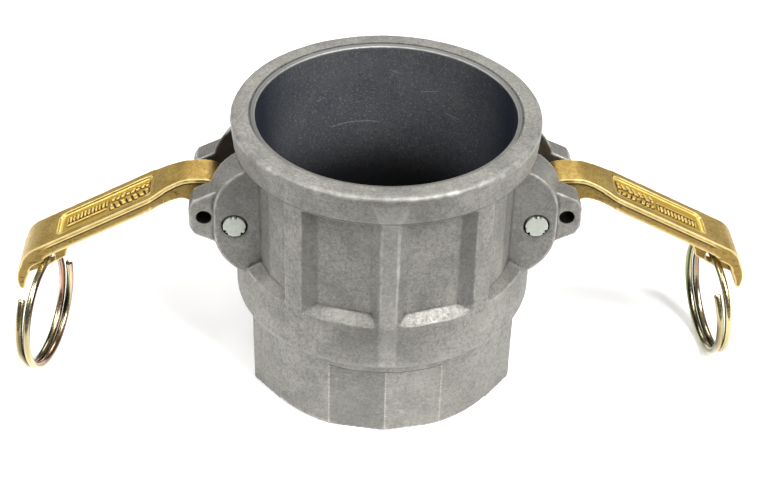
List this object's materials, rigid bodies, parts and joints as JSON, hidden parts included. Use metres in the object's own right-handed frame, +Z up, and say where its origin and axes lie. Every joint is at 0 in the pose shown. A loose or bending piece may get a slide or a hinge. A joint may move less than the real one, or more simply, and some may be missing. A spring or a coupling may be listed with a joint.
{
  "type": "cam and groove coupling",
  "caption": "Socket-end cam and groove hose coupling with folding cam arms, pull rings and a female pipe thread at the foot.",
  "frame": {"origin": "centre of the bottom face, on the axis of the bore", "axes": "+Z up along the bore, out of the socket's mouth; the arms lie along +X and -X; -Y is the side towards the viewer in the picture"},
  "size_m": [0.1874, 0.0764, 0.0744],
  "materials": {
    "casting": "as-cast matte",
    "seal": "matte",
    "pin": "zinc plated",
    "arm": "tumbled, with a brighter panel",
    "ring": "yellow zinc plated"
  },
  "bodies": {
    "coupling": {"body": "casting", "gasket": "seal", "pin_left": "pin", "pin_right": "pin"},
    "arm_left_turning": {"arm_left": "arm"},
    "arm_right_turning": {"arm_right": "arm"},
    "ring_left_swinging": {"ring_left": "ring"},
    "ring_right_swinging": {"ring_right": "ring"}
  },
  "joints": [
    {"name": "arm_right_hinge", "type": "hinge", "parent": "coupling", "child": "arm_right_turning", "pos_m": [0.0373, 0, 0.049], "axis": [0, 1, 0], "range_deg": [-45, 62.5]},
    {"name": "arm_left_hinge", "type": "hinge", "parent": "coupling", "child": "arm_left_turning", "pos_m": [-0.0373, 0, 0.049], "axis": [0, -1, 0], "range_deg": [-45, 62.5]},
    {"name": "ring_right_hinge", "type": "hinge", "parent": "arm_right_turning", "child": "ring_right_swinging", "pos_m": [0.0862, 0, 0.031], "axis": [0, -1, 0], "range_deg": [-27, 48]},
    {"name": "ring_left_hinge", "type": "hinge", "parent": "arm_left_turning", "child": "ring_left_swinging", "pos_m": [-0.0862, 0, 0.031], "axis": [0, 1, 0], "range_deg": [-15, 20]}
  ]
}
